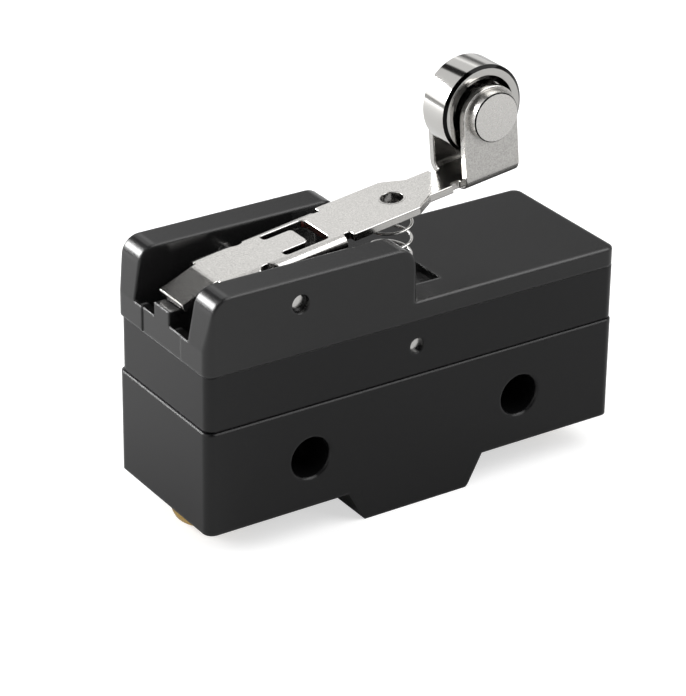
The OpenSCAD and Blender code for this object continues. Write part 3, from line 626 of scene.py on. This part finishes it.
def sheet_from_outline(outline, holes, thickness, edge):
    """A flat plate with rounded edges, from a filled 2D curve, as a bmesh centred on z = 0."""
    curve = bpy.data.curves.new("blank", "CURVE")
    curve.dimensions = "2D"
    curve.fill_mode = "BOTH"
    curve.extrude = thickness / 2 - edge
    curve.bevel_depth = edge
    curve.bevel_resolution = 2
    curve.offset = -edge
    for loop in [outline] + holes:
        spline = curve.splines.new("POLY")
        spline.points.add(len(loop) - 1)
        for point, (x, y) in zip(spline.points, loop):
            point.co = (x, y, 0, 1)
        spline.use_cyclic_u = True
    obj = bpy.data.objects.new("blank", curve)
    bpy.context.scene.collection.objects.link(obj)
    bpy.context.view_layer.update()
    flat = obj.evaluated_get(bpy.context.evaluated_depsgraph_get())
    mesh = bpy.data.meshes.new_from_object(flat)
    bm = bmesh.new()
    bm.from_mesh(mesh)
    bpy.data.objects.remove(obj)
    bpy.data.curves.remove(curve)
    bpy.data.meshes.remove(mesh)
    bmesh.ops.remove_doubles(bm, verts=bm.verts, dist=1e-4)
    return bm


def cut_across(bm, co, normal):
    """Adds edges where a plane crosses the sheet, so that it can bend there."""
    bmesh.ops.bisect_plane(bm, geom=bm.verts[:] + bm.edges[:] + bm.faces[:], dist=1e-5,
                           plane_co=co, plane_no=normal)


def bend_cuts(start, length):
    """Where to cut the sheet for a bend. The guard cuts keep the flat faces' shading flat."""
    return ([start - GUARD] +
            [start + length * i / BEND_STEPS for i in range(BEND_STEPS + 1)] +
            [start + length + GUARD])


def fold_side(v, w, start, radius, up):
    """Where a point of the flat sheet goes when the edge beyond start folds by a right angle."""
    beyond = abs(v) - start
    if beyond <= 0:
        return v, w
    turn = min(beyond / radius, pi / 2)
    rest = max(beyond - radius * pi / 2, 0)
    sign = 1 if v > 0 else -1
    r = radius - w if up else radius + w
    out = start + r * sin(turn)
    rise = radius - r * cos(turn) + rest
    return sign * out, rise if up else -rise


def bend_tail(u, w):
    """The tail turns down about the mid-plane of the sheet."""
    beyond = TAIL_START + TAIL_R * radians(TAIL_BEND) / 2 - u
    if beyond <= 0:
        return u, w
    full = radians(TAIL_BEND)
    turn = min(beyond / TAIL_R, full)
    rest = max(beyond - TAIL_R * full, 0)
    start = u + beyond
    r = TAIL_R + w
    return (start - r * sin(turn) - rest * cos(turn),
            -TAIL_R + r * cos(turn) - rest * sin(turn))


def make_lever():
    """The folded sheet: blanked flat, cut where it bends, and then folded up."""
    outline, holes = lever_blank()
    bm = sheet_from_outline(outline, holes, SHEET, EDGE)
    for side in (1, -1):
        for across in bend_cuts(FLANGE_V, FLANGE_ARC) + bend_cuts(EAR_V, EAR_ARC):
            cut_across(bm, (0, side * across, 0), (0, 1, 0))
    bend = TAIL_R * radians(TAIL_BEND)
    for along in bend_cuts(TAIL_START - bend / 2, bend):
        cut_across(bm, (along, 0, 0), (1, 0, 0))
    slack = 0.01             # so that the flange's own end faces fold too
    ears_from = FORK - 0.6   # inside the relief cut
    for vert in bm.verts:
        u, v, w = vert.co
        if FLANGE_FROM - slack <= u <= FLANGE_TO + slack:
            v, w = fold_side(v, w, FLANGE_V, FLANGE_R, False)
        elif u > ears_from:
            v, w = fold_side(v, w, EAR_V, EAR_R, True)
        elif u < FLANGE_FROM:
            u, w = bend_tail(u, w)
        vert.co = to_world(u, v, w + SHEET_MID)
    finish_mesh("lever_sheet", bm, "lever", "stainless_sheet", ["lever"], LEVER_SMOOTH)


def make_collar():
    """The drawn collar under the seat hole, which centres the spring."""
    outer, low = SEAT_R + COLLAR_WALL, -SHEET - COLLAR_DROP
    lip = rounded([(SEAT_R + COLLAR_LIP, COLLAR_PROUD), (SEAT_R, COLLAR_PROUD), (SEAT_R, low),
                   (outer, low), (outer, -SHEET + 0.1)], [0.25, 0.1, 0.1])
    bm = lathe(lip, (0, 0, 0), COLLAR_FACETS, "Z")
    for vert in bm.verts:
        vert.co = to_world(SEAT + vert.co.x, vert.co.y, SHEET_TOP + vert.co.z)
    finish_mesh("spring_seat_collar", bm, "lever", "stainless_sheet")


# ---------- roller, rivet, pin and spring ----------

ROLLER_R, ROLLER_HALF = 4.75, 2.0
ROLLER_RIM, ROLLER_RIM_H = 0.35, 0.27     # chamfer of the tread's edges
RING_R = 3.66                # inner radius of the roller's flat ends
RECESS_R, RECESS = 3.15, 0.45             # the turned recess inside it, and its depth
HUB_R, HUB_HALF = 2.2, 2.25
BORE_R = RIVET_R + 0.03
ROLLER_FACETS = 160

RIVET_HEAD_R, RIVET_HEAD = 2.63, 1.05
RIVET_CHAMFER = 0.12
RIVET_FACETS = 128

PIN_R, PIN_HALF, PIN_EDGE = 0.8, 8.025, 0.15
PIN_FACETS = 48

SPRING_FLOOR = 13.05         # the housing floor that the spring stands on
SPRING_D, SPRING_WIRE = 4.5, 0.3
SPRING_TURNS, SPRING_CLOSED = 3.4, 1.0    # open turns, and closed turns at each end
SPRING_GAP_LOW, SPRING_GAP_HIGH = 0.02, 0.05
SPRING_END = 1.1             # rise of a closed turn, in wires
SPRING_SIDES, SPRING_STEPS = 14, 44       # facets round the wire and along one turn


def both_ends(profile):
    """A half profile from the middle outwards, mirrored to the other end."""
    return [(r, -y) for r, y in reversed(profile[1:])] + profile


def make_roller():
    floor = ROLLER_HALF - RECESS
    half = rounded([(ROLLER_R, 0), (ROLLER_R, ROLLER_HALF - ROLLER_RIM_H),
                    (ROLLER_R - ROLLER_RIM, ROLLER_HALF), (RING_R, ROLLER_HALF),
                    (RECESS_R, floor), (HUB_R, floor), (HUB_R, HUB_HALF),
                    (BORE_R, HUB_HALF), (BORE_R, 0)],
                   [0.05, 0.05, 0.12, 0.2, 0.1, 0.1, 0.08])
    profile = both_ends(half[:-1])
    profile.append(profile[0])
    finish_mesh("roller_turned", lathe(profile, AXLE, ROLLER_FACETS), "roller", "polished_steel",
                ["roller"])


def make_rivet():
    out = EAR_IN + SHEET
    top = out + RIVET_HEAD
    half = rounded([(RIVET_R, 0), (RIVET_R, out), (RIVET_HEAD_R, out),
                    (RIVET_HEAD_R, top - RIVET_CHAMFER), (RIVET_HEAD_R - RIVET_CHAMFER, top),
                    (0, top)], [0.02, 0.02, 0.02, 0.02])
    finish_mesh("roller_rivet_turned", lathe(both_ends(half), AXLE, RIVET_FACETS), "lever",
                "rivet_steel", ["roller_rivet"])


def make_hinge_pin():
    half = rounded([(PIN_R, 0), (PIN_R, PIN_HALF), (0, PIN_HALF)], [PIN_EDGE])
    finish_mesh("hinge_pin_ground", lathe(both_ends(half), HINGE, PIN_FACETS), "body",
                "pin_steel", ["hinge_pin"])


def make_return_spring():
    """The wire of the return spring: closed ends and open turns, as one swept tube."""
    mean = (SPRING_D - SPRING_WIRE) / 2
    t = radians(TILT)
    low = SPRING_FLOOR + SPRING_GAP_LOW + SPRING_WIRE / 2
    seat = HINGE.z + (SHEET_TOP - SHEET + SPRING_REACH * sin(t)) / cos(t)
    high = seat - SPRING_D / 2 * sin(t) / cos(t)
    high -= SPRING_GAP_HIGH + SPRING_WIRE / 2
    total = SPRING_TURNS + 2 * SPRING_CLOSED
    end = SPRING_WIRE * SPRING_END
    centre_x = HINGE.x + SPRING_REACH
    up = Vector((0, 0, 1))
    bm = bmesh.new()
    rings = []
    for i in range(round(total * SPRING_STEPS) + 1):
        n = i / SPRING_STEPS
        if n < SPRING_CLOSED:
            z = low + end * n / SPRING_CLOSED
        elif n > total - SPRING_CLOSED:
            z = high - end * (total - n) / SPRING_CLOSED
        else:
            z = low + end + (high - low - 2 * end) * (n - SPRING_CLOSED) / SPRING_TURNS
        out = Vector((cos(2 * pi * n), sin(2 * pi * n), 0))
        at = Vector((centre_x, 0, z)) + mean * out
        rings.append([bm.verts.new(at + SPRING_WIRE / 2 * (cos(b) * out + sin(b) * up))
                      for b in (2 * pi * k / SPRING_SIDES for k in range(SPRING_SIDES))])
    for a, b in zip(rings, rings[1:]):
        for k in range(SPRING_SIDES):
            j = (k + 1) % SPRING_SIDES
            bm.faces.new((a[k], b[k], b[j], a[j]))
    bm.faces.new(rings[0])
    bm.faces.new(reversed(rings[-1]))
    spring = finish_mesh("return_spring_wire", bm, "body", "spring_wire", ["return_spring"])
    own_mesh(spring)


make_lever()
make_collar()
make_roller()
make_rivet()
make_hinge_pin()
make_return_spring()
